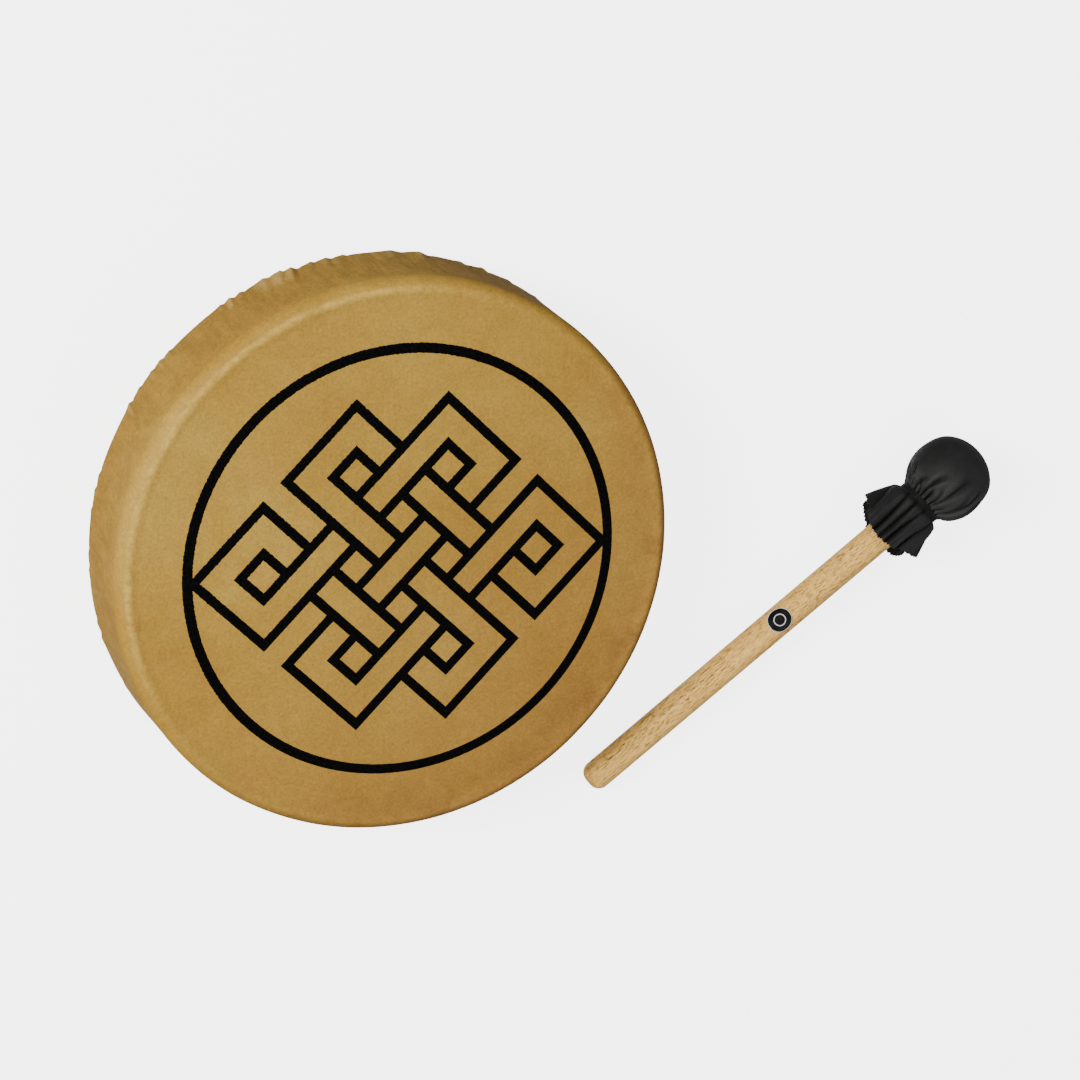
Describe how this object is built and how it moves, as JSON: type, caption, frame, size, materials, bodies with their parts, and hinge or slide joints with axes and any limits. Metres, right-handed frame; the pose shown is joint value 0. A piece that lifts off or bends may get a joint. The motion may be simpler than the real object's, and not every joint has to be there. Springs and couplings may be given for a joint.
{
  "type": "frame drum with beater",
  "caption": "Laced goatskin frame drum on a laminated hoop, with a wrapped hand hold behind the head, and its padded cloth-headed beater lying beside it.",
  "frame": {"origin": "centre of the drum's playing face, on the hide's outer surface", "axes": "+Z out of the head, up when the drum lies on its back; +X along the long axis of the knot printed on the head, towards the side where the beater lies"},
  "size_m": [0.6538, 0.4026, 0.0708],
  "materials": {
    "goat_hide": "smooth dry hide, faint sheen, mottled",
    "hoop_wood": "satin, bent laminations",
    "lacing_cord": "twisted natural cord",
    "grip_leather": "wound leather strip",
    "ring_steel": "brushed",
    "beater_wood": "open-pored hardwood, satin",
    "felt": "pressed felt",
    "wadding": "soft wadding",
    "black_cloth": "fine woven cotton, faint sheen",
    "black_thread": "waxed thread",
    "badge": "plain black label with a pale rim"
  },
  "bodies": {
    "drum": {"goatskin_head": "goat_hide", "hoop_outer_ply": "hoop_wood", "hoop_core_ply": "hoop_wood", "hoop_inner_ply": "hoop_wood", "lace_01": "lacing_cord", "lace_02": "lacing_cord", "lace_03": "lacing_cord", "lace_04": "lacing_cord", "lace_05": "lacing_cord", "lace_06": "lacing_cord", "lace_07": "lacing_cord", "lace_08": "lacing_cord", "lace_09": "lacing_cord", "lace_10": "lacing_cord", "lace_11": "lacing_cord", "lace_12": "lacing_cord", "grip_wrap_1": "grip_leather", "grip_wrap_2": "grip_leather", "grip_wrap_3": "grip_leather", "grip_wrap_4": "grip_leather", "hand_ring": "ring_steel", "ring_lashing_1": "lacing_cord", "ring_lashing_2": "lacing_cord", "ring_lashing_3": "lacing_cord", "ring_lashing_4": "lacing_cord"},
    "beater": {"beater_stick": "beater_wood", "felt_core": "felt", "wadding": "wadding", "cloth_cover": "black_cloth", "neck_tie": "black_thread", "stick_badge": "badge"}
  },
  "joints": [
    {"name": "beater_lift", "type": "slide", "parent": "drum", "child": "beater", "axis": [0, 0, 1], "range_m": [0, 0.25]}
  ]
}
